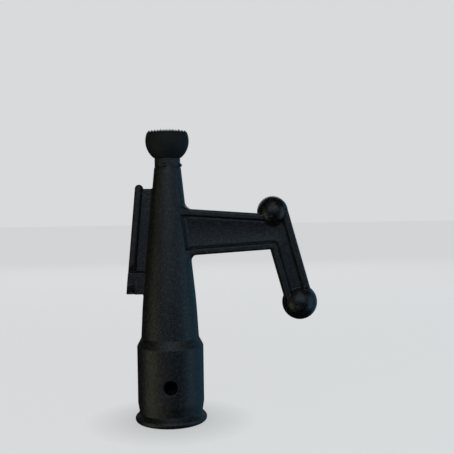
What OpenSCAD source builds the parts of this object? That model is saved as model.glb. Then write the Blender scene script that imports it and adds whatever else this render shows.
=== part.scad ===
// Boat hook head that fits on the end of a telescoping handle.
// +Z runs up the shank, the hook arm reaches towards +X, the button hole faces -Y,
// and the origin is the centre of the socket's mouth.

/* [Handle socket] */
// Diameter of the bore that takes the handle's end
bore_d = 25.8; // [25.4:0.1:26.2]
// Wall around the bore
socket_wall = 4; // [3.6:0.1:4.4]
// Depth of the bore, from the mouth to the stop ledge
socket_depth = 38.8; // [36.8:0.1:40]
// Overall diameter of the rolled lip
lip_d = 36.6; // [36:0.1:37]
// Height of the rolled lip
lip_h = 4.9; // [4.5:0.1:5.3]
// Diameter of the hole for the handle's snap button
button_d = 7; // [6:0.1:8]
// Height of the button hole's centre above the mouth
button_z = 20.3; // [18:0.1:22]

/* [Shank] */
// Height of the sloping shoulder above the socket
shoulder_h = 4.2; // [3.5:0.1:5]
// Diameter at the foot of the taper
shank_foot_d = 29.4; // [28.6:0.1:30]
// Diameter where the taper steepens
shank_belly_d = 27.4; // [27:0.1:27.8]
// Diameter at the top of the taper
shank_top_d = 13.6; // [13.2:0.1:14]
// Height of the top of the taper above the mouth
shank_top_z = 129.1; // [128.4:0.1:129.6]
// Diameter of the neck collar under the pusher tip
neck_d = 13; // [12.6:0.1:13.2]
// Height of the neck collar
neck_h = 5.1; // [4.8:0.1:5.4]

/* [Pusher tip] */
// Diameter of the pusher tip's ball
tip_d = 22; // [21.6:0.1:22.4]
// Height of the flat top above the ball's centre, to the points of the teeth
tip_rise = 5.3; // [5:0.1:5.6]
// Distance from one tooth to the next
tooth_pitch = 1.5; // [1.4:0.1:1.8]
// Depth of the grooves between the teeth
tooth_depth = 0.8; // [0.6:0.1:1]
// Diameter of the spigot that holds the tip in the neck
spigot_d = 7; // [6:0.1:8]
// Length of the spigot below the ball
spigot_l = 15; // [12:1:18]

/* [Hook] */
// Height of the arm's top edge where it would meet the shank's axis
arm_top_z = 109; // [108.4:0.1:109.6]
// Fall of the arm's top edge towards the corner, in degrees
arm_top_fall = 4.4; // [3.8:0.1:5]
// Height of the arm's bottom edge where it would meet the shank's axis
arm_bottom_z = 84.1; // [83.4:0.1:84.8]
// Rise of the arm's bottom edge towards the corner, in degrees
arm_bottom_rise = 3.3; // [2.5:0.1:4]
// Thickness of the arm and leg webs
web_t = 9; // [8:0.2:9.6]
// Thickness of the flanges along the edges
flange_t = 11.4; // [10.6:0.2:12]
// Width of the arm's flanges
flange_w = 3.2; // [2.8:0.1:3.6]
// Width of the leg between its outer edges
leg_w = 13.3; // [12.8:0.1:13.8]
// Diameter of the ball at the arm's corner
corner_ball_d = 15.8; // [15.4:0.1:16.2]
// Diameter of the ball at the hook's tip
hook_ball_d = 18; // [17.4:0.1:18.6]

/* [Side fin] */
// How far the fin's edge lies from the shank's axis at its top
fin_top_reach = 16.7; // [16.2:0.1:17.2]
// How far the fin's edge lies from the shank's axis at its foot
fin_foot_reach = 21.9; // [21.4:0.1:22.4]
// Thickness of the fin's web
fin_web_t = 2; // [1.6:0.1:2.4]
// Diameter of the rail along the fin's edge
rail_d = 4.2; // [3.8:0.1:4.4]

/* [Hidden] */
$fn = 96;
nylon = "#1c1e20";
nylon_light = "#26292b";
tip_rubber = "#141516";
pin_grey = "#3a3d40";

eps = 1;                                  // how far a cutting solid runs past a face
bore_r = bore_d / 2;
socket_r = bore_r + socket_wall;
shoulder_top_z = socket_depth + shoulder_h;
lip_seat_r = bore_r + 2.7;                // socket wall inside the lip
lip_roll_r = 1.8;                         // radius of the lip's rolled edge
lip_slope = 48;                           // where the roll turns into the lip's sloping top
waist_r = lip_seat_r + 0.45;              // socket wall just above the lip
waist_z = 10.1;                           // where the socket wall is full size again

// Hollow core of the moulding, above the stop ledge
core_foot_r = 10.4;
core_top_r = 3.5;
core_top_z = 104.8;

shank_foot_r = shank_foot_d / 2;
shank_top_r = shank_top_d / 2;
shank_belly_r = shank_belly_d / 2;
shank_belly_z = 60.8;                     // where the taper steepens
function shank_r(z) = lookup(z, [
    [shoulder_top_z, shank_foot_r], [shank_belly_z, shank_belly_r], [shank_top_z, shank_top_r]
]);

// Pusher tip
neck_top_z = shank_top_z + neck_h;
tip_r = tip_d / 2;
tip_z = neck_top_z + 8.6;                 // centre of the tip's ball
tip_top_z = tip_z + tip_rise;
pin_d = 1.4;
pin_z = 130.4;
pin_foot_r = 2.2;                         // how near the pins reach to the axis
pin_head_d = 2;
pin_turns = [-13, -103];                  // directions of the pins around the neck

// Hook, as lines in the XZ plane: a point and a direction each
corner_ball_at = [53.4, 106.3];
hook_ball_at = [67, 59.5];
leg_top_at = [54, 106.3];
leg_outer_flange_w = 3.3;
leg_inner_flange_w = 2.7;
gusset = 4;                               // size of the gussets between shank and arm

function left_of(d) = [-d[1], d[0]];
function meet(p, d, q, e) = p + d * cross(q - p, e) / cross(d, e);

top_dir = [cos(arm_top_fall), -sin(arm_top_fall)];
bottom_dir = [cos(arm_bottom_rise), sin(arm_bottom_rise)];
leg_dir = (hook_ball_at - leg_top_at) / norm(hook_ball_at - leg_top_at);
top_edge = [0, arm_top_z];
top_inner = top_edge - flange_w * left_of(top_dir);
bottom_edge = [0, arm_bottom_z];
bottom_inner = bottom_edge + flange_w * left_of(bottom_dir);
outer_edge = leg_top_at + leg_w / 2 * left_of(leg_dir);
outer_inner = outer_edge - leg_outer_flange_w * left_of(leg_dir);
inner_edge = leg_top_at - leg_w / 2 * left_of(leg_dir);
inner_inner = inner_edge + leg_inner_flange_w * left_of(leg_dir);
leg_l = norm(hook_ball_at - leg_top_at);
crotch = meet(bottom_edge, bottom_dir, inner_edge, leg_dir);
crotch_inner = meet(bottom_inner, bottom_dir, inner_inner, leg_dir);

// Side fin levels
fin_top_z = 118.8;
rail_foot_z = 80.4;
block_top_z = 76.3;
notch_top_z = 69.1;
fin_foot_z = 65.2;
recess_t = 0.8;                           // thin floor of the fin's recesses
rail_r = rail_d / 2;
block_t = rail_d;
fin_lean = (fin_foot_reach - fin_top_reach) / (fin_top_z - fin_foot_z);
function fin_x(z) = -(fin_foot_reach - fin_lean * (z - fin_foot_z));

// A flat shape in the XZ plane, with its thickness centred on Y = 0
module slab(points, t) {
    rotate([90, 0, 0]) linear_extrude(t, center = true) polygon(points);
}

// The solid outside of the shank, which the arm and the fin are cut to fit
module shank_outside() {
    rotate_extrude() polygon([
        [0, shoulder_top_z], [shank_foot_r, shoulder_top_z], [shank_belly_r, shank_belly_z],
        [shank_top_r, shank_top_z], [0, shank_top_z]
    ]);
}

module ball(at, d) {
    translate([at[0], 0, at[1]]) sphere(d = d);
}

// Socket that slips over the handle, with the hole for its snap button
module pole_socket() {
    color(nylon) difference() {
        rotate_extrude() polygon([
            [bore_r, 0], [lip_seat_r, 0], [lip_seat_r, lip_h], [waist_r, lip_h],
            [socket_r, waist_z], [socket_r, socket_depth], [bore_r, socket_depth]
        ]);
        translate([0, 0, button_z]) rotate([90, 0, 0])
            cylinder(h = socket_r + eps, d = button_d);
    }
}

// Rolled lip round the mouth
module socket_lip() {
    roll_x = lip_d / 2 - lip_roll_r;
    color(nylon) rotate_extrude() polygon(concat(
        [[lip_seat_r, 0]],
        [for (a = [-90:6:lip_slope]) [roll_x + lip_roll_r * cos(a), lip_roll_r * (1 + sin(a))]],
        [[waist_r, lip_h], [lip_seat_r, lip_h]]
    ));
}

// Sloping shoulder, whose underside is the ledge that stops the handle
module socket_shoulder() {
    color(nylon_light) rotate_extrude() polygon([
        [core_foot_r, socket_depth], [socket_r, socket_depth],
        [shank_foot_r, shoulder_top_z], [core_foot_r, shoulder_top_z]
    ]);
}

// Hollow tapered shank, solid near its top around the spigot hole
module tapered_shank() {
    color(nylon) difference() {
        shank_outside();
        translate([0, 0, shoulder_top_z - eps])
            cylinder(h = eps + 0.01, r = core_foot_r);
        translate([0, 0, shoulder_top_z])
            cylinder(h = core_top_z - shoulder_top_z, r1 = core_foot_r, r2 = core_top_r);
        translate([0, 0, neck_top_z - spigot_l])
            cylinder(h = spigot_l + eps, d = spigot_d);
    }
}

module pin_bodies(d, reach) {
    for (turn = pin_turns)
        rotate([0, 0, turn]) translate([pin_foot_r, 0, pin_z]) rotate([0, 90, 0])
            cylinder(h = reach - pin_foot_r, d = d);
}

// Collar that carries the ball, bored for its spigot and drilled for its pins
module neck_collar() {
    color(nylon_light) difference() {
        translate([0, 0, shank_top_z]) cylinder(h = neck_h, d = neck_d);
        translate([0, 0, shank_top_z - eps]) cylinder(h = neck_h + 2 * eps, d = spigot_d);
        pin_bodies(pin_d, neck_d / 2 + eps);
    }
}

// Non-skid ball with a cross-cut flat top, on its spigot
module pusher_tip() {
    groove_w = tooth_pitch - 0.3;
    reach = ceil(tip_r / tooth_pitch);
    color(tip_rubber) difference() {
        union() {
            intersection() {
                translate([0, 0, tip_z]) sphere(r = tip_r);
                translate([0, 0, neck_top_z]) cylinder(h = tip_top_z - neck_top_z, r = tip_r + eps);
            }
            translate([0, 0, neck_top_z - spigot_l]) cylinder(h = spigot_l + eps, d = spigot_d);
        }
        pin_bodies(pin_d, neck_d / 2);
        for (turn = [0, 90], i = [-reach:reach])
            rotate([0, 0, turn]) translate([i * tooth_pitch, 0, tip_top_z])
                slab([[-groove_w / 2, 0.01], [0, -tooth_depth], [groove_w / 2, 0.01]], 3 * tip_r);
    }
}

// Two round-headed pins that hold the spigot in the neck
module tip_pins() {
    color(pin_grey) {
        pin_bodies(pin_d, neck_d / 2);
        for (turn = pin_turns)
            rotate([0, 0, turn]) translate([neck_d / 2, 0, pin_z]) intersection() {
                sphere(d = pin_head_d);
                translate([-0.1, -eps, -eps]) cube([eps, 2 * eps, 2 * eps]);
            }
    }
}

// Flat web between the arm's flanges, as far as the corner
module arm_web() {
    color(nylon_light) difference() {
        slab([
            top_inner, meet(top_inner, top_dir, corner_ball_at, [0, 1]),
            [crotch_inner[0], corner_ball_at[1] - corner_ball_d / 4], crotch_inner, bottom_inner
        ], web_t);
        shank_outside();
        ball(corner_ball_at, corner_ball_d);
    }
}

// Edge flange along the top of the arm, with its gusset against the shank
module arm_top_flange() {
    root = top_edge + shank_r(arm_top_z) * top_dir;
    color(nylon) difference() {
        slab([
            top_inner, [0, root[1] + gusset], [root[0] - 1, root[1] + gusset],
            root + gusset * top_dir, meet(top_edge, top_dir, corner_ball_at, [0, 1]),
            meet(top_inner, top_dir, corner_ball_at, [0, 1])
        ], flange_t);
        shank_outside();
        ball(corner_ball_at, corner_ball_d);
    }
}

// Edge flange along the bottom of the arm, with its gusset against the shank
module arm_bottom_flange() {
    root = bottom_edge + shank_r(arm_bottom_z) * bottom_dir;
    color(nylon) difference() {
        slab([
            bottom_inner, crotch_inner, crotch, root + gusset / 2 * bottom_dir,
            [root[0] - 1, root[1] - gusset], [0, root[1] - gusset]
        ], flange_t);
        shank_outside();
    }
}

// Flat web between the leg's flanges, from the corner ball to the hook ball
module leg_web() {
    color(nylon_light) difference() {
        slab([
            crotch_inner, [crotch_inner[0], corner_ball_at[1] - corner_ball_d / 4],
            corner_ball_at, outer_inner, outer_inner + leg_l * leg_dir,
            inner_inner + leg_l * leg_dir
        ], web_t);
        ball(corner_ball_at, corner_ball_d);
        ball(hook_ball_at, hook_ball_d);
    }
}

// Edge flange along the outside of the leg
module leg_outer_flange() {
    color(nylon) difference() {
        slab([
            outer_edge, outer_inner, outer_inner + leg_l * leg_dir, outer_edge + leg_l * leg_dir
        ], flange_t);
        ball(corner_ball_at, corner_ball_d);
        ball(hook_ball_at, hook_ball_d);
    }
}

// Edge flange along the inside of the leg, mitred to the arm's bottom flange
module leg_inner_flange() {
    color(nylon) difference() {
        slab([
            crotch, crotch_inner, inner_inner + leg_l * leg_dir, inner_edge + leg_l * leg_dir
        ], flange_t);
        ball(hook_ball_at, hook_ball_d);
    }
}

// Ball that closes the corner between arm and leg
module corner_ball() {
    color(nylon) ball(corner_ball_at, corner_ball_d);
}

// Larger ball at the hook's tip
module hook_ball() {
    color(nylon) ball(hook_ball_at, hook_ball_d);
}

// Straight rail of the fin, from its foot to the middle of its domed top
module rail_bar(d) {
    foot_x = fin_x(rail_foot_z) + rail_r;
    translate([foot_x, 0, rail_foot_z]) rotate([0, atan(fin_lean), 0]) {
        h = (fin_top_z - rail_foot_z) / cos(atan(fin_lean));
        cylinder(h = h, d = d);
        translate([0, 0, h]) sphere(d = d);
    }
}

// Thin web of the fin, with a thinner floor below the rail
module fin_web() {
    color(nylon_light) difference() {
        union() {
            slab([
                [0, block_top_z], [fin_x(block_top_z) + rail_d, block_top_z],
                [fin_x(rail_foot_z) + rail_d, rail_foot_z], [fin_x(rail_foot_z) + rail_r, rail_foot_z],
                [fin_x(fin_top_z) + rail_r, fin_top_z], [0, fin_top_z]
            ], fin_web_t);
            slab([
                [fin_x(block_top_z) + rail_d + eps, block_top_z], [fin_x(block_top_z), block_top_z],
                [fin_x(rail_foot_z), rail_foot_z], [fin_x(rail_foot_z) + rail_d + eps, rail_foot_z]
            ], recess_t);
        }
        shank_outside();
        rail_bar(rail_d);
    }
}

// Round rail along the fin's edge, with a domed top
module fin_rail() {
    color(nylon) rail_bar(rail_d);
}

// Thicker block at the fin's foot, notched on both faces under its rounded column
module fin_block() {
    color(nylon) difference() {
        slab([
            [0, fin_foot_z], [fin_x(fin_foot_z), fin_foot_z],
            [fin_x(block_top_z), block_top_z], [0, block_top_z]
        ], block_t);
        shank_outside();
        for (side = [-1, 1])
            translate([0, side * (recess_t + block_t) / 2, 0]) slab([
                [fin_x(fin_foot_z) - eps, fin_foot_z - eps], [fin_x(fin_foot_z) + rail_d, fin_foot_z - eps],
                [fin_x(notch_top_z) + rail_d, notch_top_z], [fin_x(notch_top_z) - eps, notch_top_z]
            ], block_t);
    }
}

pole_socket();
socket_lip();
socket_shoulder();
tapered_shank();
neck_collar();
pusher_tip();
tip_pins();
arm_web();
arm_top_flange();
arm_bottom_flange();
leg_web();
leg_outer_flange();
leg_inner_flange();
corner_ball();
hook_ball();
fin_web();
fin_rail();
fin_block();
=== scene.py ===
"""Looks of the boat hook head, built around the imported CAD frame.

The head is described once, as a signed distance field in millimetres. Each CAD node's visible
piece is the stretch of that field that the node stands for, meshed as a closed solid, so that
fillets and rounded edges run on smoothly from one piece to the next.
"""

import math

import bpy
import numpy as np
from mathutils import Matrix, Vector


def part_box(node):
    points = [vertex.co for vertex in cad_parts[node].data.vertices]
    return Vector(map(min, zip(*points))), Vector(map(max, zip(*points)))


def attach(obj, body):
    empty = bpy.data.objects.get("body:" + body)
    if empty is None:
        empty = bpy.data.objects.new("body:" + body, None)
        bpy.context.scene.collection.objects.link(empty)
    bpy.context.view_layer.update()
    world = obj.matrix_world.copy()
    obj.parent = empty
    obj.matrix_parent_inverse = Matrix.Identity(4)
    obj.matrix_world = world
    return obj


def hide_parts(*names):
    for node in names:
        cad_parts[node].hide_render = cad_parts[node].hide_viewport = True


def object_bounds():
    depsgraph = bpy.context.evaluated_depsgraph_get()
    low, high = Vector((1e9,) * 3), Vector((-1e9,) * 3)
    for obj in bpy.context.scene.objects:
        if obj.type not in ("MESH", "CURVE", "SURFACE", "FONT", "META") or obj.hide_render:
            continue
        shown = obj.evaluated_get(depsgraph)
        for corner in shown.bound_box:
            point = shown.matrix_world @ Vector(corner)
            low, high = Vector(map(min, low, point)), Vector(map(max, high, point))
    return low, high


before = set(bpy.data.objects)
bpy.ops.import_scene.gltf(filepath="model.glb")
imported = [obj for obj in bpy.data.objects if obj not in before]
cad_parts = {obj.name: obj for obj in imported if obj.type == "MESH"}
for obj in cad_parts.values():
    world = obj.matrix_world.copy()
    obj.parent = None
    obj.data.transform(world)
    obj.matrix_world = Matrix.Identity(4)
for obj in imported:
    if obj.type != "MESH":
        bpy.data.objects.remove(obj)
cad_low, cad_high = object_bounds()

MM = 0.001

# ---------------------------------------------------------------- detail sizes, in millimetres
GRID = 0.4                      # mesh cell of the head's pieces
TIP_GRID = 0.24                 # mesh cell of the pusher tip
PIN_GRID = 0.1                  # mesh cell of the pins
PULLS = 3                       # how often a mesh's corners are pulled on to the surface
SLOPE_REACH = 0.02              # half step at which the field's slope is taken for that
LEAST_SLOPE = 0.2               # square of the slope below which a pull is held back
WELD = 0.002                    # corners that round to the same multiple of this are joined
SPECK = 0.1                     # loose parts smaller than this share of the biggest are dropped
OVERLAP = 0.8                   # how far a piece runs on under its neighbour
DIVE = 0.12                     # how deep it lies there

MOUTH_ROUND = 0.5               # rounding inside the mouth
LIP_ROLL = 1.8                  # radius of the lip's roll
LIP_SLOPE = 48                  # degrees round the roll where the sloping top begins
LIP_TOP_ROUND = 0.2             # rounding where the lip's top meets the wall
WAIST_ROUND = 6                 # rounding of the wall above the lip
SHOULDER_ROUND = 0.7            # rounding of the shoulder's lower edge
SHOULDER_FILLET = 0.9           # fillet at the foot of the taper
BELLY_ROUND = 300               # how gently the taper steepens
SEAM_ROUND = 0.3                # rounding at the shank's top, under the neck
NECK_STEP = 0.5                 # height of the slope from the shank in to the neck
NECK_FOOT_ROUND = 0.5           # rounding at the neck's foot
NECK_TOP_ROUND = 0.35           # rounding of the neck's top edge
CORE_TOP_ROUND = 1.5            # rounding at the top of the hollow core
CORE_FOOT_ROUND = 0.3           # rounding at the core's foot
STOP_ROUND = 0.6                # rounding in the corner of the stop ledge
BUTTON_ROUND = 0.35             # rounding round the button hole
ROOT_FILLET = 3.4               # fillet between shank and arm
BALL_FILLET = 0.35              # fillet round the balls
FLANGE_ROUND = 1.15             # rounding of the flanges' outer edges
POCKET_ROUND = 0.7              # rounding of the flanges' inner edges
CROTCH_ROUND = 1.3              # rounding inside the corner under the arm
FIN_FILLET = 0.9                # fillet between shank and fin
FIN_ROUND = 0.3                 # rounding of the fin's edges
CUT_ROUND = 0.15                # rounding of the edges of the fin's recess and notch
GROOVE_ROUND = 0.1              # rounding of the edges of the fin's groove
FLOOR_ROUND = 0.2               # rounding of the edges of the fin's recess floor
BLOCK_FOOT_ROUND = 0.4          # rounding of the block's lower outer corner
BLOCK_TOP_ROUND = 0.3           # rounding of its upper outer corner
WEB_FILLET = 1.2                # fillet between shank and arm web
WEB_DISH = 0.7                  # how far the arm's web sinks in towards its middle
DISH_FADE = (-3, 9)             # where that fades away, past the corner under the arm
WEB_EDGE = 0.3                  # how far the webs sink in beside the flanges
WEB_EDGE_FADE = (0.4, 1.5)      # where that fades away, from the flanges inwards
WEB_REACH = 1.5                 # how far round the shank the pocket goes, past the flanges' faces

ARM_STUB = 4.4                  # how far the shank's piece takes in the arm's root
FIN_STUB = 1.0                  # and the fin's
FLANGE_FOOT = 0.5               # how far a flange's piece takes in the web
BALL_FOOT = 0.9                 # how far a ball's piece takes in what it sits on

BEND_REACH = 0.35               # how far off the surface its bend is sampled
WEAR_FROM = 0.35                # bend, per millimetre, where edges begin to look polished
WEAR_TO = 1.3                   # and where they are fully so
HOLLOW_REACHES = (0.6, 1.2, 2.0)    # how far out hollows are looked for


# ---------------------------------------------------------------- reading the frame
SAME_LEVEL = 0.05               # heights nearer than this, in millimetres, count as the same
LEVEL_NORMAL = 0.01             # largest Y in the normal of a side that counts as upright in Y
FACING = 0.5                    # least share of the normal that has to point the given way


def box_mm(node):
    """A node's box in millimetres."""
    low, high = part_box(node)
    return np.array(low) / MM, np.array(high) / MM


def ball_of(node):
    """Centre and radius of a ball's node."""
    low, high = box_mm(node)
    return (low + high) / 2, (high[1] - low[1]) / 2


def radii_at(node, z):
    """Smallest and largest distance from the Z axis of a node's corners at height z."""
    points = np.array([v.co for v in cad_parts[node].data.vertices]) / MM
    near = points[np.abs(points[:, 2] - z) < SAME_LEVEL]
    radii = np.hypot(near[:, 0], near[:, 1])
    return radii.min(), radii.max()


def flat_side(node, towards):
    """The largest flat side of a node that faces towards (x, z), as (normal x, normal z, distance from 0)."""
    sides = {}
    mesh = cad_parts[node].data
    for face in mesh.polygons:
        normal = face.normal
        if abs(normal.y) > LEVEL_NORMAL or normal.x * towards[0] + normal.z * towards[1] < FACING:
            continue
        reach = face.center.dot(normal) / MM
        key = (round(normal.x, 2), round(normal.z, 2), round(reach, 1))
        entry = sides.setdefault(key, [0.0, np.zeros(3)])
        entry[0] += face.area
        entry[1] += face.area * np.array([normal.x, normal.z, reach])
    area, total = max(sides.values(), key=lambda entry: entry[0])
    return total / area


def cross_point(side_a, side_b):
    """Where two flat sides meet, as (x, z)."""
    return tuple(np.linalg.solve([side_a[:2], side_b[:2]], [side_a[2], side_b[2]]))


def at_x(side, x):
    """The point (x, z) of a flat side at x."""
    return (x, (side[2] - side[0] * x) / side[1])


def at_z(side, z):
    """The point (x, z) of a flat side at height z."""
    return ((side[2] - side[1] * z) / side[0], z)


lip_top_z = box_mm("socket_lip")[1][2]
lip_r = box_mm("socket_lip")[1][0]
waist_r = radii_at("socket_lip", lip_top_z)[1]
lip_seat_r = radii_at("socket_lip", lip_top_z)[0]
socket_top_z = box_mm("pole_socket")[1][2]
bore_r, socket_r = radii_at("pole_socket", socket_top_z)
shoulder_top_z = box_mm("socket_shoulder")[1][2]
core_r, shank_foot_r = radii_at("socket_shoulder", shoulder_top_z)
BELLY_Z = 60.8                  # where the shank's taper steepens
belly_r = radii_at("tapered_shank", BELLY_Z)[1]
shank_top_z = box_mm("tapered_shank")[1][2]
spigot_r, shank_top_r = radii_at("tapered_shank", shank_top_z)
neck_top_z = box_mm("neck_collar")[1][2]
neck_r = box_mm("neck_collar")[1][0]
corner_at, corner_r = ball_of("corner_ball")
hook_at, hook_r = ball_of("hook_ball")
flange_half = box_mm("arm_top_flange")[1][1]
web_half = box_mm("arm_web")[1][1]

arm_top = flat_side("arm_top_flange", (0, 1))
arm_top_inner = flat_side("arm_web", (0, 1))
arm_bottom = flat_side("arm_bottom_flange", (0, -1))
arm_bottom_inner = flat_side("arm_web", (0, -1))
leg_outer = flat_side("leg_outer_flange", (1, 0))
leg_outer_inner = flat_side("leg_web", (1, 0))
leg_inner = flat_side("leg_inner_flange", (-1, 0))
leg_inner_inner = flat_side("leg_web", (-1, 0))
fin_outer = flat_side("fin_block", (-1, 0))

WAIST_Z = 10.1                  # where the socket wall is full size again above the lip
CORE_TOP_Z = 104.8              # top of the hollow core
CORE_TOP_R = 3.5                # and its radius there
BUTTON_Z = 20.3
BUTTON_R = 3.5
TIP_RISE = 8.6                  # height of the tip ball's centre above the neck
tip_low, tip_high = box_mm("pusher_tip")
tip_r = (tip_high[0] - tip_low[0]) / 2
tip_centre_z = neck_top_z + TIP_RISE


# ---------------------------------------------------------------- distance fields
def rounded(corners, steps=6):
    """An outline's corners (x, y, radius), with each radius replaced by an arc of short steps."""
    outline = []
    count = len(corners)
    for i, (x, y, radius) in enumerate(corners):
        here = np.array([x, y], float)
        if radius == 0:
            outline.append((x, y))
            continue
        back = np.array(corners[i - 1][:2], float) - here
        ahead = np.array(corners[(i + 1) % count][:2], float) - here
        back /= np.linalg.norm(back)
        ahead /= np.linalg.norm(ahead)
        half = math.acos(np.clip(back @ ahead, -1, 1)) / 2
        centre = here + (back + ahead) / np.linalg.norm(back + ahead) * radius / math.sin(half)
        first = here + back * radius / math.tan(half) - centre
        last = here + ahead * radius / math.tan(half) - centre
        sweep = math.atan2(first[0] * last[1] - first[1] * last[0], first @ last)
        for k in range(steps + 1):
            turn = sweep * k / steps
            c, s = math.cos(turn), math.sin(turn)
            across, up = c * first[0] - s * first[1], s * first[0] + c * first[1]
            outline.append((centre[0] + across, centre[1] + up))
    return outline


def outline_distance(outline, u, v):
    """Signed distance from (u, v) to a closed outline, negative inside."""
    nearest = np.full(np.broadcast(u, v).shape, np.inf, u.dtype)
    inside = np.zeros(nearest.shape, bool)
    for (ax, ay), (bx, by) in zip(outline, outline[1:] + outline[:1]):
        ex, ey = bx - ax, by - ay
        length2 = ex * ex + ey * ey
        if length2 < 1e-12:
            continue
        wu, wv = u - ax, v - ay
        along = np.clip((wu * ex + wv * ey) / length2, 0, 1)
        nearest = np.minimum(nearest, (wu - ex * along) ** 2 + (wv - ey * along) ** 2)
        if ay != by:
            inside ^= ((ay > v) != (by > v)) & (wu < ex * wv / ey)
    return np.where(inside, -1, 1) * np.sqrt(nearest)


def slab(distance, y, half, radius):
    """An outline's distance carried through a plate of that half thickness, with rounded edges."""
    a, b = distance + radius, np.abs(y) - half + radius
    return np.hypot(np.maximum(a, 0), np.maximum(b, 0)) + np.minimum(np.maximum(a, b), 0) - radius


def fillet_union(a, b, radius):
    """a and b together, with the corner between them filled by a fillet."""
    near_both = np.hypot(np.maximum(radius - a, 0), np.maximum(radius - b, 0))
    return np.maximum(radius, np.minimum(a, b)) - near_both


def fillet_cut(a, b, radius):
    """a without b, with the edge between them rounded."""
    return -fillet_union(-a, b, radius)


def most(*parts):
    """Where every part is negative."""
    return np.maximum.reduce(parts)


def smooth(value, low, high):
    """A smooth step from 0 at low to 1 at high."""
    t = np.clip((value - low) / (high - low), 0, 1)
    return t * t * (3 - 2 * t)


def ball(x, y, z, centre, radius):
    """Signed distance to a ball."""
    return np.sqrt((x - centre[0]) ** 2 + (y - centre[1]) ** 2 + (z - centre[2]) ** 2) - radius


def beyond(side, x, z):
    """How far a point lies beyond a flat side, negative on the solid's side of it."""
    return side[0] * x + side[1] * z - side[2]


ROLL_STEPS = 16                 # points round the lip's roll
roll_x = lip_r - LIP_ROLL
SHAFT = rounded(
    [(bore_r, 0, MOUTH_ROUND)]
    + [
        (roll_x + LIP_ROLL * math.cos(math.radians(a)), LIP_ROLL * (1 + math.sin(math.radians(a))), 0)
        for a in np.linspace(-90, LIP_SLOPE, ROLL_STEPS)
    ]
    + [
        (waist_r, lip_top_z, LIP_TOP_ROUND),
        (socket_r, WAIST_Z, WAIST_ROUND),
        (socket_r, socket_top_z, SHOULDER_ROUND),
        (shank_foot_r, shoulder_top_z, SHOULDER_FILLET),
        (belly_r, BELLY_Z, BELLY_ROUND),
        (shank_top_r, shank_top_z, SEAM_ROUND),
        (neck_r, shank_top_z + NECK_STEP, NECK_FOOT_ROUND),
        (neck_r, neck_top_z, NECK_TOP_ROUND),
        (spigot_r, neck_top_z, 0),
        (spigot_r, tip_low[2], 0),
        (0, tip_low[2], 0),
        (0, CORE_TOP_Z, 0),
        (CORE_TOP_R, CORE_TOP_Z, CORE_TOP_ROUND),
        (core_r, shoulder_top_z, 0),
        (core_r, socket_top_z, CORE_FOOT_ROUND),
        (bore_r, socket_top_z, STOP_ROUND),
    ]
)


def shaft(x, y, z):
    """Everything that is turned about the Z axis, hollow, with the button hole."""
    turned = outline_distance(SHAFT, np.hypot(x, y), z)
    hole = np.maximum(np.hypot(x, z - BUTTON_Z) - BUTTON_R, y)
    return fillet_cut(turned, hole, BUTTON_ROUND)


def shank_cone(x, y, z):
    """Distance outside the bare taper of the shank."""
    r = np.hypot(x, y)
    lower = (shank_foot_r - belly_r) / (BELLY_Z - shoulder_top_z)
    upper = (belly_r - shank_top_r) / (shank_top_z - BELLY_Z)
    below = (r - belly_r + lower * (z - BELLY_Z)) / math.hypot(1, lower)
    above = (r - belly_r + upper * (z - BELLY_Z)) / math.hypot(1, upper)
    return np.maximum(below, above)


PLATE_FROM_X = 1                # where the arm's plate starts, inside the shank
CORNER_LIFT = 1.5               # how far above the corner ball's centre the leg's outer side begins
POCKET_CORNER = (2, 1, 2)       # how far the pocket's bevelled corner keeps off that centre
POCKET_CROTCH_ROUND = 0.6       # rounding of the pocket's inside corner
crotch = cross_point(arm_bottom, leg_inner)
crotch_inner = cross_point(arm_bottom_inner, leg_inner_inner)
HOOK_OUTLINE = rounded([
    (*at_x(arm_top, 0), 0),
    (*at_x(arm_top, corner_at[0]), 0),
    (*at_z(leg_outer, corner_at[2] + CORNER_LIFT), 0),
    (*at_z(leg_outer, hook_at[2]), 0),
    (*at_z(leg_inner, hook_at[2]), 0),
    (*crotch, CROTCH_ROUND),
    (*at_x(arm_bottom, 0), 0),
])
POCKET_OUTLINE = rounded([
    (*at_x(arm_top_inner, 0), 0),
    (*at_x(arm_top_inner, corner_at[0] - POCKET_CORNER[0]), 0),
    (corner_at[0], corner_at[2] - POCKET_CORNER[1], 0),
    (*at_z(leg_outer_inner, corner_at[2] - POCKET_CORNER[2]), 0),
    (*at_z(leg_outer_inner, hook_at[2]), 0),
    (*at_z(leg_inner_inner, hook_at[2]), 0),
    (*crotch_inner, POCKET_CROTCH_ROUND),
    (*at_x(arm_bottom_inner, 0), 0),
])


def hook_on_shank(solid, x, y, z):
    """Adds the arm, the leg and the balls to the shank's solid."""
    plate = slab(outline_distance(HOOK_OUTLINE, x, z), y, flange_half, FLANGE_ROUND)
    plate = np.maximum(plate, PLATE_FROM_X - x)
    solid = fillet_union(solid, plate, ROOT_FILLET)
    to_top = np.maximum(-beyond(arm_top_inner, x, z), 0)
    to_bottom = np.maximum(-beyond(arm_bottom_inner, x, z), 0)
    dish = WEB_DISH * 4 * to_top * to_bottom / np.maximum(to_top + to_bottom, 1) ** 2
    dish *= 1 - smooth(x, crotch[0] + DISH_FADE[0], crotch[0] + DISH_FADE[1])
    within = outline_distance(POCKET_OUTLINE, x, z)
    dish = dish + WEB_EDGE * (1 - smooth(-within, *WEB_EDGE_FADE))
    off_web = -fillet_union(np.abs(y) - web_half + dish, shank_cone(x, y, z), WEB_FILLET)
    pocket = most(within, off_web, np.abs(y) - flange_half - WEB_REACH)
    solid = fillet_cut(solid, pocket, POCKET_ROUND)
    solid = fillet_union(solid, ball(x, y, z, corner_at, corner_r), BALL_FILLET)
    return fillet_union(solid, ball(x, y, z, hook_at, hook_r), BALL_FILLET)


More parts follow.
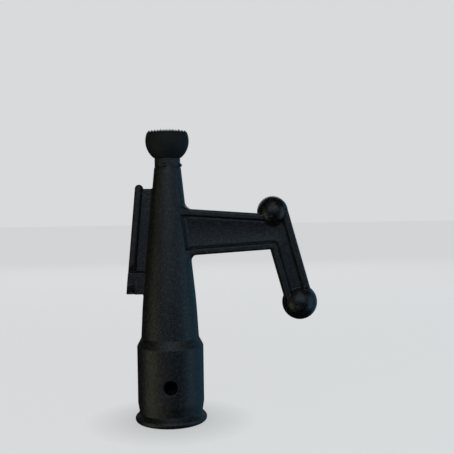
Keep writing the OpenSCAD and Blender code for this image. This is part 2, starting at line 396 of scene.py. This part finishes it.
RECESS_HALF = 0.4               # half thickness of the floor of the fin's recesses
NOTCH_Z = 69.1                  # top of the notch at the block's outer corner
BEAD_Z = 70.1                   # centre of the bead across the rail's end
BEAD_R = 0.8
BEAD_INSET = 1.2                # how far the bead's ends keep in from the rail's sides
BEAD_SINK = 0.35                # how far its centre line lies under the block's face
GROOVE_W = 0.55                 # groove between the fin's web and block
GROOVE_DEPTH = 0.4
GROOVE_OFF_SHANK = 0.7          # how far off the shank it ends
END_SLOPE = 0.6                 # how fast the rail's cut end and the notch's floor run inwards
RAIL_FOOT_LIFT = 0.1            # how far above its node's foot the rail is cut off
RAIL_RUN = 3                    # how far its line goes on below the cut
WEB_RUN = 1                     # how far the web and the recess floor go on inside the block
WEB_TOP_DROP = 0.3              # how far the web's top drops towards the shank
PAST = 2                        # how far a cutting shape stands out past what it cuts

rail_low, rail_high = box_mm("fin_rail")
block_low, block_high = box_mm("fin_block")
fin_web_high = box_mm("fin_web")[1]
rail_r = (rail_high[1] - rail_low[1]) / 2
rail_foot_z = rail_low[2] + RAIL_FOOT_LIFT
fin_web_half = fin_web_high[1]
rail_line = fin_outer - np.array([0, 0, rail_r])
rail_inner = fin_outer - np.array([0, 0, 2 * rail_r])
past_fin = fin_outer + np.array([0, 0, PAST])

FIN_WEB = rounded([
    (0, block_high[2] - WEB_RUN, 0),
    (*at_z(rail_line, block_high[2] - WEB_RUN), 0),
    (*at_z(rail_line, fin_web_high[2]), 0),
    (0, fin_web_high[2] - WEB_TOP_DROP, 0),
])
FIN_BLOCK = rounded([
    (0, block_low[2], 0),
    (*at_z(fin_outer, block_low[2]), BLOCK_FOOT_ROUND),
    (*at_z(fin_outer, block_high[2]), BLOCK_TOP_ROUND),
    (0, block_high[2], 0),
])


def strip(side_a, side_b, z_a, z_b):
    """Outline between two flat sides from height z_a to z_b."""
    return [at_z(side_a, z_a), at_z(side_b, z_a), at_z(side_b, z_b), at_z(side_a, z_b)]


FIN_FLOOR = strip(rail_line, fin_outer, block_high[2] - WEB_RUN, rail_foot_z + WEB_RUN)
FIN_RECESS = strip(rail_inner, past_fin, block_high[2], rail_foot_z)
FIN_NOTCH = strip(rail_inner, past_fin, NOTCH_Z, block_low[2] - PAST)


def capsule(x, y, z, a, b, radius):
    """Signed distance to a rod with round ends from a to b."""
    a, b = np.array(a), np.array(b)
    run = b - a
    along = ((x - a[0]) * run[0] + (y - a[1]) * run[1] + (z - a[2]) * run[2]) / (run @ run)
    along = np.clip(along, 0, 1)
    return ball(x, y, z, [a[i] + along * run[i] for i in range(3)], radius)


def fin(x, y, z):
    """The side fin: its web, its rail, its block and the recesses at its edge."""
    foot = at_z(rail_line, rail_foot_z - RAIL_RUN)
    top = at_z(rail_line, rail_high[2] - rail_r)
    rail = capsule(x, y, z, (foot[0], 0, foot[1]), (top[0], 0, top[1]), rail_r)
    ramp = (np.abs(y) - rail_r + END_SLOPE * (rail_foot_z - z)) / math.hypot(1, END_SLOPE)
    rail = np.maximum(rail, ramp)
    web = slab(outline_distance(FIN_WEB, x, z), y, fin_web_half, FIN_ROUND)
    recess = np.maximum(outline_distance(FIN_RECESS, x, z), RECESS_HALF - np.abs(y))
    groove = most(
        np.abs(z - block_high[2] - GROOVE_W / 2) - GROOVE_W / 2,
        fin_web_half - GROOVE_DEPTH - np.abs(y),
        beyond(rail_inner, x, z),
        GROOVE_OFF_SHANK - shank_cone(x, y, z),
    )
    floor = slab(outline_distance(FIN_FLOOR, x, z), y, RECESS_HALF, FLOOR_ROUND)
    block = slab(outline_distance(FIN_BLOCK, x, z), y, block_high[1], FIN_ROUND)
    floor_half = np.maximum(block_high[1] - END_SLOPE * (NOTCH_Z - z), RECESS_HALF)
    notch = np.maximum(outline_distance(FIN_NOTCH, x, z), floor_half - np.abs(y))
    bead_x = at_z(rail_line, BEAD_Z)[0]
    bead_half, bead_y = rail_r - BEAD_INSET, block_high[1] - BEAD_SINK
    ends = [(bead_x + side * bead_half, bead_y, BEAD_Z) for side in (-1, 1)]
    bead = capsule(x, np.abs(y), z, *ends, BEAD_R)
    block = np.minimum(fillet_cut(block, notch, CUT_ROUND), bead)
    web = fillet_cut(web, recess, CUT_ROUND)
    web = np.minimum(fillet_cut(web, groove, GROOVE_ROUND), floor)
    return np.minimum(np.minimum(web, rail), block)


def head(x, y, z):
    """The whole nylon moulding."""
    solid = shaft(x, y, z)
    solid = fillet_union(solid, fin(x, y, z), FIN_FILLET)
    return hook_on_shank(solid, x, y, z)


# ---------------------------------------------------------------- meshing
def surface_nets(values, low, step):
    """Corners and four-sided faces of the zero surface of a field sampled on a grid."""
    inside = values < 0
    shape = np.array(values.shape) - 1
    corners = [(i, j, k) for i in (0, 1) for j in (0, 1) for k in (0, 1)]
    blocks = [tuple(slice(c[a], c[a] + shape[a]) for a in range(3)) for c in corners]
    count = sum(inside[b].astype(np.int8) for b in blocks)
    cells = np.argwhere((count > 0) & (count < 8))
    number = np.full(shape, -1, np.int32)
    number[tuple(cells.T)] = np.arange(len(cells))
    total = np.zeros((len(cells), 3))
    hits = np.zeros(len(cells))
    at = {c: values[tuple((cells + c).T)] for c in corners}
    for c in corners:
        for axis in range(3):
            if c[axis]:
                continue
            d = tuple(c[a] + (a == axis) for a in range(3))
            crossing = (at[c] < 0) != (at[d] < 0)
            share = at[c][crossing] / (at[c][crossing] - at[d][crossing])
            point = np.tile(np.array(c, float), (len(share), 1))
            point[:, axis] += share
            total[crossing] += point
            hits[crossing] += 1
    points = low + (cells + total / hits[:, None]) * step
    faces = []
    for axis in range(3):
        side, up = (axis + 1) % 3, (axis + 2) % 3
        first = inside[tuple(slice(0, -1) if a == axis else slice(1, -1) for a in range(3))]
        second = inside[tuple(slice(1, None) if a == axis else slice(1, -1) for a in range(3))]
        for out in (True, False):
            edges = np.argwhere((first == out) & (second != out))
            for a in (side, up):
                edges[:, a] += 1
            ring = []
            for ds, du in ((1, 1), (0, 1), (0, 0), (1, 0)):
                cell = edges.copy()
                cell[:, side] -= ds
                cell[:, up] -= du
                ring.append(number[tuple(cell.T)])
            quad = np.stack(ring, 1)
            faces.append(quad if out else quad[:, ::-1])
    return points, np.concatenate(faces)


def weld(points, faces):
    """Joins corners that were pulled to the same spot, and drops folded faces and loose specks."""
    _, first, joined = np.unique(np.round(points / WELD), axis=0, return_index=True, return_inverse=True)
    points, faces = points[first], joined.reshape(-1)[faces]
    a, b, c, d = faces.T
    faces = faces[(a != c) & (b != d)]
    start, end = faces.ravel(), np.roll(faces, -1, 1).ravel()
    _, edge, uses = np.unique(np.minimum(start, end) * len(points) + np.maximum(start, end),
                              return_inverse=True, return_counts=True)
    shared = (uses[edge] == 2) & (start != end)
    owner = np.repeat(np.arange(len(faces)), 4)
    order = np.argsort(edge, kind="stable")
    one, two = owner[order[shared[order]]].reshape(-1, 2).T
    label = np.arange(len(faces))
    while True:
        least = label.copy()
        np.minimum.at(least, one, label[two])
        np.minimum.at(least, two, label[one])
        least = least[least]
        if (least == label).all():
            break
        label = least
    size = np.bincount(label)
    faces = faces[size[label] > SPECK * size.max()]
    used, faces = np.unique(faces, return_inverse=True)
    return points[used], faces.reshape(-1, 4)


def gradient(field, points, reach):
    """How steeply the field rises at its points along X, Y and Z."""
    parts = []
    for axis in range(3):
        offset = np.zeros(3)
        offset[axis] = reach
        ahead, behind = (points + offset).T, (points - offset).T
        parts.append((field(*ahead) - field(*behind)) / (2 * reach))
    return np.stack(parts, 1)


def curvature(field, points):
    """How sharply the surface bends outwards at its points, per millimetre."""
    total = -6 * field(*points.T)
    for axis in range(3):
        offset = np.zeros(3)
        offset[axis] = BEND_REACH
        total += field(*(points + offset).T) + field(*(points - offset).T)
    return total / BEND_REACH ** 2


def enclosure(field, points, normals):
    """How closely the surface round about closes in over its points, from 0 in the open to 1."""
    total = 0
    for reach in HOLLOW_REACHES:
        closeness = np.clip(1 - field(*(points + reach * normals).T) / reach, 0, 1)
        total += closeness / len(HOLLOW_REACHES)
    return total


def keep(mesh, name, values):
    """Keeps a value for each of the mesh's points, for its material."""
    attribute = mesh.attributes.new(name, "FLOAT", "POINT")
    attribute.data.foreach_set("value", values.astype(np.float32))


def solid_mesh(name, field, low, high, step, shading=None):
    """A closed mesh of a field's inside, its corners pulled on to the field's surface. The normals and the
    kept values come from the shading field, where one is given."""
    low = np.asarray(low, float) - 2 * step
    count = np.ceil((np.asarray(high) + 2 * step - low) / step).astype(int) + 1
    axes = [(low[a] + step * np.arange(count[a])).astype(np.float32) for a in range(3)]
    values = field(*np.meshgrid(*axes, indexing="ij"))
    points, faces = surface_nets(values, low, step)
    for _ in range(PULLS):
        slope = gradient(field, points, SLOPE_REACH)
        steepness = np.maximum((slope ** 2).sum(1), LEAST_SLOPE)
        move = field(*points.T)[:, None] * slope / steepness[:, None]
        points -= np.clip(move, -step / 2, step / 2)
    points = np.clip(points, np.array(cad_low) / MM, np.array(cad_high) / MM)
    points, faces = weld(points, faces)
    shading = shading or field
    normals = gradient(shading, points, step / 3)
    normals /= np.maximum(np.linalg.norm(normals, axis=1), 1e-6)[:, None]
    mesh = bpy.data.meshes.new(name)
    rings = [[v for i, v in enumerate(ring) if v != ring[i - 1]] for ring in faces.tolist()]
    mesh.from_pydata((points * MM).tolist(), [], [ring for ring in rings if len(ring) > 2])
    mesh.validate()
    mesh.shade_smooth()
    mesh.normals_split_custom_set_from_vertices(normals.tolist())
    bend = curvature(shading, points)
    keep(mesh, "edge", np.clip((bend - WEAR_FROM) / (WEAR_TO - WEAR_FROM), 0, 1))
    keep(mesh, "hollow", enclosure(shading, points, normals))
    piece = bpy.data.objects.new(name, mesh)
    bpy.context.scene.collection.objects.link(piece)
    return piece


def head_piece(node, share, low, high):
    """The piece of the head where share is negative, which stands for that CAD node."""
    def cut(x, y, z):
        past = share(x, y, z)
        dive = DIVE * np.clip(past / OVERLAP, 0, 1) ** 2
        return np.maximum(head(x, y, z) + dive, past - OVERLAP)

    def shading(x, y, z):
        return np.maximum(head(x, y, z), share(x, y, z) - OVERLAP)

    piece = solid_mesh(node + ".look", cut, low - OVERLAP, high + OVERLAP, GRID, shading)
    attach(piece, "root")
    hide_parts(node)
    return piece


# ---------------------------------------------------------------- each node's share of the head
def lip_share(x, y, z):
    return most(z - lip_top_z, lip_seat_r - np.hypot(x, y))


def socket_share(x, y, z):
    return most(z - socket_top_z, -lip_share(x, y, z))


def shoulder_share(x, y, z):
    return most(socket_top_z - z, z - shoulder_top_z)


def off_shank(x, y, z):
    """Negative away from the shank and the roots that its piece takes in."""
    stub = np.where(x > 0, ARM_STUB, FIN_STUB)
    return stub - shank_cone(x, y, z)


def shank_share(x, y, z):
    return most(shoulder_top_z - z, z - shank_top_z, -off_shank(x, y, z))


def neck_share(x, y, z):
    return shank_top_z - z


def corner_share(x, y, z):
    return ball(x, y, z, corner_at, corner_r + BALL_FOOT)


def hook_share(x, y, z):
    return ball(x, y, z, hook_at, hook_r + BALL_FOOT)


def off_balls(x, y, z):
    return most(-corner_share(x, y, z), -hook_share(x, y, z))


corner_turn = np.array(crotch_inner) - np.array(crotch)
corner_turn /= np.linalg.norm(corner_turn)


def past_corner(x, z):
    """Distance past the mitre between arm and leg, positive on the leg's side."""
    mitre = (x - crotch[0]) * corner_turn[1] - (z - crotch[1]) * corner_turn[0]
    return np.where(z < crotch_inner[1], mitre, x - crotch_inner[0])


def top_flange_share(x, y, z):
    above = -FLANGE_FOOT - beyond(arm_top_inner, x, z)
    return most(above, off_shank(x, y, z), off_balls(x, y, z), x - corner_at[0], -x)


def bottom_flange_share(x, y, z):
    below = -FLANGE_FOOT - beyond(arm_bottom_inner, x, z)
    return most(below, off_shank(x, y, z), past_corner(x, z), -x)


def arm_web_share(x, y, z):
    between = most(beyond(arm_top_inner, x, z), beyond(arm_bottom_inner, x, z)) + FLANGE_FOOT
    return most(between, off_shank(x, y, z), past_corner(x, z), off_balls(x, y, z), -x)


def leg_outer_share(x, y, z):
    outer = -FLANGE_FOOT - beyond(leg_outer_inner, x, z)
    return most(outer, off_balls(x, y, z), corner_at[0] - x)


def leg_inner_share(x, y, z):
    inner = -FLANGE_FOOT - beyond(leg_inner_inner, x, z)
    return most(inner, off_balls(x, y, z), -past_corner(x, z), z - crotch_inner[1])


def leg_web_share(x, y, z):
    between = most(beyond(leg_outer_inner, x, z), beyond(leg_inner_inner, x, z)) + FLANGE_FOOT
    return most(between, off_balls(x, y, z), -past_corner(x, z))


def fin_web_share(x, y, z):
    return most(off_shank(x, y, z), x, block_high[2] - z, -rail_share(x, y, z))


def rail_share(x, y, z):
    return most(-beyond(rail_inner, x, z), rail_foot_z - z)


def block_share(x, y, z):
    return most(off_shank(x, y, z), x, z - block_high[2])


def make_head():
    """All the pieces of the nylon moulding."""
    shares = {
        "socket_lip": lip_share,
        "pole_socket": socket_share,
        "socket_shoulder": shoulder_share,
        "tapered_shank": shank_share,
        "neck_collar": neck_share,
        "arm_web": arm_web_share,
        "arm_top_flange": top_flange_share,
        "arm_bottom_flange": bottom_flange_share,
        "leg_web": leg_web_share,
        "leg_outer_flange": leg_outer_share,
        "leg_inner_flange": leg_inner_share,
        "corner_ball": corner_share,
        "hook_ball": hook_share,
        "fin_web": fin_web_share,
        "fin_rail": rail_share,
        "fin_block": block_share,
    }
    ball_spread = (2, 0, 2)
    spreads = {"tapered_shank": (ARM_STUB, 0, 0), "corner_ball": ball_spread, "hook_ball": ball_spread}
    pieces = {}
    for node, share in shares.items():
        low, high = box_mm(node)
        extra = np.array(spreads.get(node, (1, 0, 1)), float)
        pieces[node] = head_piece(node, share, low - extra, high + extra)
    return pieces


# ---------------------------------------------------------------- pusher tip and pins
TOOTH_PITCH = 1.5
TOOTH_DEPTH = 1.1
TOOTH_HEIGHTS = (0.75, 1.0)     # least and greatest height of a tooth, as shares of the depth
TOOTH_SEED = 7
TOOTH_STEEPNESS = 1.2           # above 1 the teeth have flat tops and steeper sides
TOOTH_FIELD = 0.5               # scales the teeth's steep field down towards a true distance
TIP_EDGE_ROUND = 0.2
TIP_GAP = 0.02                  # gap all round between the tip and what holds it
SPIGOT_RUN = 1                  # how far above the neck the spigot runs on inside the ball
tooth_rows = 2 * math.ceil(tip_r / TOOTH_PITCH) + 1
tooth_heights = np.random.default_rng(TOOTH_SEED).uniform(*TOOTH_HEIGHTS, (tooth_rows, tooth_rows))
tooth_heights = tooth_heights.astype(np.float32)


def tooth_top(x, y):
    """Height of the cross-cut top's teeth above the bottoms of its grooves."""
    def across(u):
        return 1 - 2 * np.abs(u / TOOTH_PITCH - np.round(u / TOOTH_PITCH))

    middle = tooth_rows // 2
    i = np.clip(np.round(x / TOOTH_PITCH).astype(int) + middle, 0, tooth_rows - 1)
    j = np.clip(np.round(y / TOOTH_PITCH).astype(int) + middle, 0, tooth_rows - 1)
    shape = np.clip(TOOTH_STEEPNESS * np.minimum(across(x), across(y)), 0, 1)
    return TOOTH_DEPTH * tooth_heights[i, j] * shape


def pusher_tip(x, y, z):
    """Truncated ball on its spigot, its flat top cut across by grooves that run out at the rim."""
    body = ball(x, y, z, (0, 0, tip_centre_z), tip_r)
    above = (z - tip_high[2] + TOOTH_DEPTH - tooth_top(x, y)) * TOOTH_FIELD
    body = fillet_cut(body, -above, TIP_EDGE_ROUND)
    body = np.maximum(body, neck_top_z + TIP_GAP - z)
    ends = np.maximum(tip_low[2] - z, z - neck_top_z - SPIGOT_RUN)
    spigot = np.maximum(np.hypot(x, y) - spigot_r + TIP_GAP, ends)
    return np.minimum(body, spigot)


def make_tip():
    piece = solid_mesh("pusher_tip.look", pusher_tip, tip_low, tip_high, TIP_GRID)
    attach(piece, "root")
    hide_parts("pusher_tip")
    return piece


PIN_Z = 130.4
PIN_TURNS = (-13, -103)         # directions of the pins round the neck
PIN_FOOT = 2.2                  # how near the pins reach to the axis
PIN_R = 0.7
PIN_HEAD_R = 1.0
PIN_SEAT = 0.3                  # how far a pin's head goes down into the neck


def pins(x, y, z):
    """Both round-headed pins."""
    found = []
    for turn in PIN_TURNS:
        c, s = math.cos(math.radians(turn)), math.sin(math.radians(turn))
        along, off = c * x + s * y, np.hypot(c * y - s * x, z - PIN_Z)
        shank = most(off - PIN_R, PIN_FOOT - along, along - neck_r)
        head_at = (c * neck_r, s * neck_r, PIN_Z)
        cap = most(ball(x, y, z, head_at, PIN_HEAD_R), neck_r - PIN_SEAT - along)
        found.append(np.minimum(shank, cap))
    return np.minimum(*found)


def make_pins():
    piece = solid_mesh("tip_pins.look", pins, *box_mm("tip_pins"), PIN_GRID)
    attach(piece, "root")
    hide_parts("tip_pins")
    return piece


# ---------------------------------------------------------------- materials
COLOUR_A, COLOUR_B, COLOUR_OUT = 6, 7, 2    # the Mix node's colour sockets, which share their names
NYLON_DEEP = (0.0024, 0.0026, 0.0029)       # the nylon's flow mottling, at its darkest
NYLON_PALE = (0.0038, 0.0040, 0.0043)       # and at its palest
NYLON_SPECK = (0.030, 0.031, 0.032)         # light caught by its grain
NYLON_WORN = (0.0095, 0.0098, 0.0102)       # its edges where handling has polished them
NYLON_ROUGH = (0.32, 0.50)
HOLLOW_SHADE_SHINE = 0.06                         # specular level left deep in a hollow, turned down there as painted shade
RUBBER_DEEP = (0.006, 0.0066, 0.0068)
RUBBER_PALE = (0.010, 0.0105, 0.0108)
RUBBER_DUST = (0.022, 0.022, 0.022)
PIN_COLOUR = (0.004, 0.004, 0.0045)
PIN_SCUFF = (0.012, 0.012, 0.012)


class Recipe:
    """A material with a Principled shader and a few node helpers. Patterns lie in the object's own frame."""

    def __init__(self, name):
        self.material = bpy.data.materials.new(name)
        self.material.use_nodes = True
        self.tree = self.material.node_tree
        self.shader = self.tree.nodes["Principled BSDF"]
        self.place = self.node("ShaderNodeTexCoord").outputs["Object"]

    def node(self, kind, **settings):
        """A new node with those settings."""
        made = self.tree.nodes.new(kind)
        for key, value in settings.items():
            setattr(made, key, value)
        return made

    def link(self, value, socket):
        """Feeds a socket from another one, or sets it to a number."""
        if isinstance(value, (int, float)):
            socket.default_value = value
        else:
            self.tree.links.new(value, socket)

    def noise(self, size, detail=2, roughness=0.5):
        """Noise with features of about that size in millimetres, from 0 to 1."""
        texture = self.node("ShaderNodeTexNoise")
        self.link(self.place, texture.inputs["Vector"])
        texture.inputs["Scale"].default_value = 1 / (size * MM)
        texture.inputs["Detail"].default_value = detail
        texture.inputs["Roughness"].default_value = roughness
        return texture.outputs["Fac"]

    def specks(self, size):
        """Distance to scattered points about that far apart in millimetres, about 0 to 1."""
        texture = self.node("ShaderNodeTexVoronoi")
        self.link(self.place, texture.inputs["Vector"])
        texture.inputs["Scale"].default_value = 1 / (size * MM)
        return texture.outputs["Distance"]

    def span(self, value, low, high, to_low=0, to_high=1):
        """The value's run from low to high mapped on to the run from to_low to to_high, and held there."""
        made = self.node("ShaderNodeMapRange")
        self.link(value, made.inputs["Value"])
        limits = {"From Min": low, "From Max": high, "To Min": to_low, "To Max": to_high}
        for socket, number in limits.items():
            made.inputs[socket].default_value = number
        return made.outputs["Result"]

    def maths(self, operation, a, b):
        """Two numbers or sockets put together."""
        made = self.node("ShaderNodeMath", operation=operation)
        self.link(a, made.inputs[0])
        self.link(b, made.inputs[1])
        return made.outputs[0]

    def blend(self, share, a, b):
        """Colour a turning to b; each is a colour or a socket."""
        made = self.node("ShaderNodeMix", data_type="RGBA")
        self.link(share, made.inputs["Factor"])
        for value, socket in ((a, made.inputs[COLOUR_A]), (b, made.inputs[COLOUR_B])):
            if isinstance(value, tuple):
                socket.default_value = (*value, 1)
            else:
                self.link(value, socket)
        return made.outputs[COLOUR_OUT]

    def kept(self, name):
        """A value kept with the mesh's points."""
        return self.node("ShaderNodeAttribute", attribute_name=name).outputs["Fac"]

    def bump(self, height, depth, below=None):
        """Relief from a height of 0 to 1 that is so many millimetres deep."""
        made = self.node("ShaderNodeBump")
        self.link(height, made.inputs["Height"])
        made.inputs["Distance"].default_value = depth * MM
        if below:
            self.link(below, made.inputs["Normal"])
        return made.outputs["Normal"]

    def finish(self, colour, roughness, normal, **constants):
        self.link(colour, self.shader.inputs["Base Color"])
        self.link(roughness, self.shader.inputs["Roughness"])
        self.link(normal, self.shader.inputs["Normal"])
        for key, value in constants.items():
            self.shader.inputs[key.replace("_", " ")].default_value = value
        return self.material


def nylon(name, polish, shine):
    """Black moulded nylon: spark-eroded grain, flow mottling, edges polished by handling, and painted shade
    in hollows, where the specular level is turned down.
    Polish is taken off its roughness, and shine is its specular level in the open."""
    recipe = Recipe(name)
    mottle = recipe.noise(9, detail=3)
    grain = recipe.noise(0.75, detail=3, roughness=0.6)
    fine = recipe.noise(0.3, detail=2)
    cloud = recipe.span(mottle, 0.3, 0.7)
    colour = recipe.blend(cloud, NYLON_DEEP, NYLON_PALE)
    speckle = recipe.noise(1.3, detail=2, roughness=0.7)
    colour = recipe.blend(recipe.span(speckle, 0.48, 0.72), colour, NYLON_SPECK)
    edge = recipe.kept("edge")
    colour = recipe.blend(edge, colour, NYLON_WORN)
    rough = recipe.span(grain, 0.25, 0.75, NYLON_ROUGH[0] - polish, NYLON_ROUGH[1] - polish)
    rough = recipe.maths("ADD", rough, recipe.span(mottle, 0.3, 0.7, -0.03, 0.03))
    rough = recipe.maths("SUBTRACT", rough, recipe.maths("MULTIPLY", edge, 0.08))
    normal = recipe.bump(fine, 0.05)
    normal = recipe.bump(grain, 0.2 - polish, normal)
    normal = recipe.bump(mottle, 0.05, normal)
    # painted shade: the specular level drops in hollows, so creases look darker than the lamps alone make
    # them
    gleam_with_hollow_shade = recipe.span(recipe.kept("hollow"), 0.15, 0.7, shine, HOLLOW_SHADE_SHINE)
    recipe.link(gleam_with_hollow_shade, recipe.shader.inputs["Specular IOR Level"])
    return recipe.finish(colour, rough, normal)


def rubber(name):
    """Dull black rubber: pitted, with an open grain that catches dust."""
    recipe = Recipe(name)
    grain = recipe.noise(0.55, detail=3, roughness=0.6)
    patch = recipe.noise(5, detail=2)
    pits = recipe.specks(0.9)
    colour = recipe.blend(recipe.span(patch, 0.3, 0.7), RUBBER_DEEP, RUBBER_PALE)
    colour = recipe.blend(recipe.span(grain, 0.5, 0.85), colour, RUBBER_DUST)
    rough = recipe.span(grain, 0.25, 0.75, 0.6, 0.8)
    normal = recipe.bump(pits, 0.03)
    normal = recipe.bump(grain, 0.07, normal)
    return recipe.finish(colour, rough, normal, Specular_IOR_Level=0.35)


def gloss_nylon(name):
    """Smooth black nylon of the pins, with small scuffs."""
    recipe = Recipe(name)
    scuff = recipe.noise(0.5, detail=3, roughness=0.7)
    colour = recipe.blend(recipe.span(scuff, 0.45, 0.7), PIN_COLOUR, PIN_SCUFF)
    rough = recipe.span(scuff, 0.3, 0.7, 0.08, 0.2)
    return recipe.finish(colour, rough, recipe.bump(scuff, 0.006))


# ---------------------------------------------------------------- stage, light and camera
FLOOR_HALF = 3.0                # half the floor's side, in metres
FLOOR_COLOUR = (0.22, 0.22, 0.22)
FLOOR_TINT = (0.975, 0.99, 1.0)
FLOOR_GLOW = 0.66
BORE_SHADOW_GLOW = 0.02                # what is left of the glow inside the bore, as painted shadow
FOOT_SHADE = 0.16               # how much the glow falls off at the socket's foot, as a painted contact shadow
FOOT_SHADE_R = 0.045            # and how far out that goes, in metres

DIM_COLOUR = (0.85, 0.95, 1, 1)
DIM_STRENGTH = 0.012
PALE_COLOUR = (0.69, 0.70, 0.71, 1)

CAMERA_AT = (0.00134, -0.39792, 0.11352)
CAMERA_TURN = -4.104            # degrees, to its right
CAMERA_DROP = 2.13              # degrees below level
CAMERA_ROLL = -0.784
CAMERA_LENS = 61.85             # for a sensor 36 mm wide
CAMERA_SENSOR = 36
CAMERA_NEAR = 0.01

AIM = Vector((0.01, 0, 0.075))  # what the soft boxes point at
# name: azimuth (0 is the camera's side, positive to its right), elevation, distance,
# width, height, radiance, colour
SOFTBOXES = {
    "front": (0, 20, 0.80, 1.1, 0.40, 1.05, (0.50, 0.70, 1.0)),
    "top_front": (0, 40, 0.80, 1.1, 0.40, 0.57, (0.97, 1.0, 0.80)),
    "top": (0, 61, 0.80, 0.32, 0.30, 0.85, (0.85, 0.95, 1.0)),
    "left_low": (-70, -26, 0.60, 0.40, 0.42, 0.92, (0.96, 1.0, 0.73)),
    "left": (-70, 8, 0.60, 0.40, 0.40, 0.24, (1.0, 0.82, 0.45)),
    "glint": (-20, -29, 0.60, 0.09, 0.09, 3.2, (1.0, 0.97, 0.85)),
    "right": (72, -4, 0.60, 0.40, 0.70, 0.92, (0.45, 0.74, 1.0)),
    "right_back": (125, 0, 0.60, 0.50, 0.80, 0.36, (0.22, 0.68, 1.0)),
    "back": (180, 24, 0.90, 1.0, 0.55, 0.75, (0.95, 0.98, 1.0)),
}


def make_floor():
    """A pale, softly glowing floor, with painted shadow round the socket's foot and inside its bore. It takes
    no part in reflections, bounced light or shadows, so that the low soft boxes reach the head."""
    mesh = bpy.data.meshes.new("studio_floor")
    s = FLOOR_HALF
    mesh.from_pydata([(-s, -s, 0), (s, -s, 0), (s, s, 0), (-s, s, 0)], [], [(0, 1, 2, 3)])
    floor = bpy.data.objects.new("studio_floor", mesh)
    floor.visible_glossy = False
    floor.visible_diffuse = False
    floor.visible_shadow = False
    recipe = Recipe("studio_floor")
    distance = recipe.node("ShaderNodeVectorMath", operation="LENGTH")
    recipe.link(recipe.place, distance.inputs[0])
    distance = distance.outputs["Value"]
    # painted shadow: the glow dims inside the bore and round the socket's foot
    inner = recipe.span(distance, bore_r * MM, waist_r * MM, BORE_SHADOW_GLOW, FLOOR_GLOW - FOOT_SHADE)
    outer = recipe.span(distance, waist_r * MM, FOOT_SHADE_R, 0, FOOT_SHADE)
    recipe.link(recipe.maths("ADD", inner, outer), recipe.shader.inputs["Emission Strength"])
    recipe.shader.inputs["Base Color"].default_value = (*FLOOR_COLOUR, 1)
    recipe.shader.inputs["Roughness"].default_value = 0.9
    recipe.shader.inputs["Specular IOR Level"].default_value = 0.0
    recipe.shader.inputs["Emission Color"].default_value = (*FLOOR_TINT, 1)
    mesh.materials.append(recipe.material)
    bpy.context.scene.collection.objects.link(floor)


def make_softbox(name, azimuth, elevation, distance, width, height, radiance, colour):
    """A rectangular light that faces AIM and that the camera doesn't see."""
    data = bpy.data.lights.new(name, "AREA")
    data.shape = "RECTANGLE"
    data.size, data.size_y = width, height
    data.energy = math.pi * width * height * radiance
    data.color = colour
    light = bpy.data.objects.new(name, data)
    a, e = math.radians(azimuth), math.radians(elevation)
    away = Vector((math.sin(a) * math.cos(e), -math.cos(a) * math.cos(e), math.sin(e)))
    light.location = AIM + distance * away
    light.rotation_euler = away.to_track_quat("Z", "Y").to_euler()
    light.visible_camera = False
    bpy.context.scene.collection.objects.link(light)


def make_world():
    """Pale behind the scene, and dim all round as far as light and reflections go."""
    world = bpy.data.worlds.new("studio")
    bpy.context.scene.world = world
    world.use_nodes = True
    tree = world.node_tree
    dim = tree.nodes["Background"]
    dim.inputs["Color"].default_value = DIM_COLOUR
    dim.inputs["Strength"].default_value = DIM_STRENGTH
    pale = tree.nodes.new("ShaderNodeBackground")
    pale.inputs["Color"].default_value = PALE_COLOUR
    path = tree.nodes.new("ShaderNodeLightPath")
    mix = tree.nodes.new("ShaderNodeMixShader")
    tree.links.new(path.outputs["Is Camera Ray"], mix.inputs["Fac"])
    tree.links.new(dim.outputs["Background"], mix.inputs[1])
    tree.links.new(pale.outputs["Background"], mix.inputs[2])
    tree.links.new(mix.outputs["Shader"], tree.nodes["World Output"].inputs["Surface"])


def make_camera():
    """The photograph's view: nearly level, from the height of the arm's top, a little to the right."""
    data = bpy.data.cameras.new("camera")
    data.sensor_width = CAMERA_SENSOR
    data.lens = CAMERA_LENS
    data.clip_start = CAMERA_NEAR
    camera = bpy.data.objects.new("camera", data)
    turn = Matrix.Rotation(math.radians(CAMERA_TURN), 3, "Z")
    tilt = Matrix.Rotation(math.radians(90 - CAMERA_DROP), 3, "X")
    roll = Matrix.Rotation(math.radians(CAMERA_ROLL), 3, "Z")
    camera.location = CAMERA_AT
    camera.rotation_euler = (turn @ tilt @ roll).to_euler()
    bpy.context.scene.collection.objects.link(camera)
    bpy.context.scene.camera = camera


make_camera()
make_world()
make_floor()
for name, setting in SOFTBOXES.items():
    make_softbox(name, *setting)
bpy.context.scene.view_settings.view_transform = "Standard"

pieces = make_head()
tip = make_tip()
body_nylon = nylon("moulded_nylon", polish=0, shine=0.5)
ball_nylon = nylon("moulded_nylon_polished", polish=0.13, shine=0.4)
for node, piece in pieces.items():
    piece.data.materials.append(ball_nylon if node.endswith("_ball") else body_nylon)
tip.data.materials.append(rubber("tip_rubber"))
pin_heads = make_pins()
pin_heads.data.materials.append(gloss_nylon("pin_nylon"))
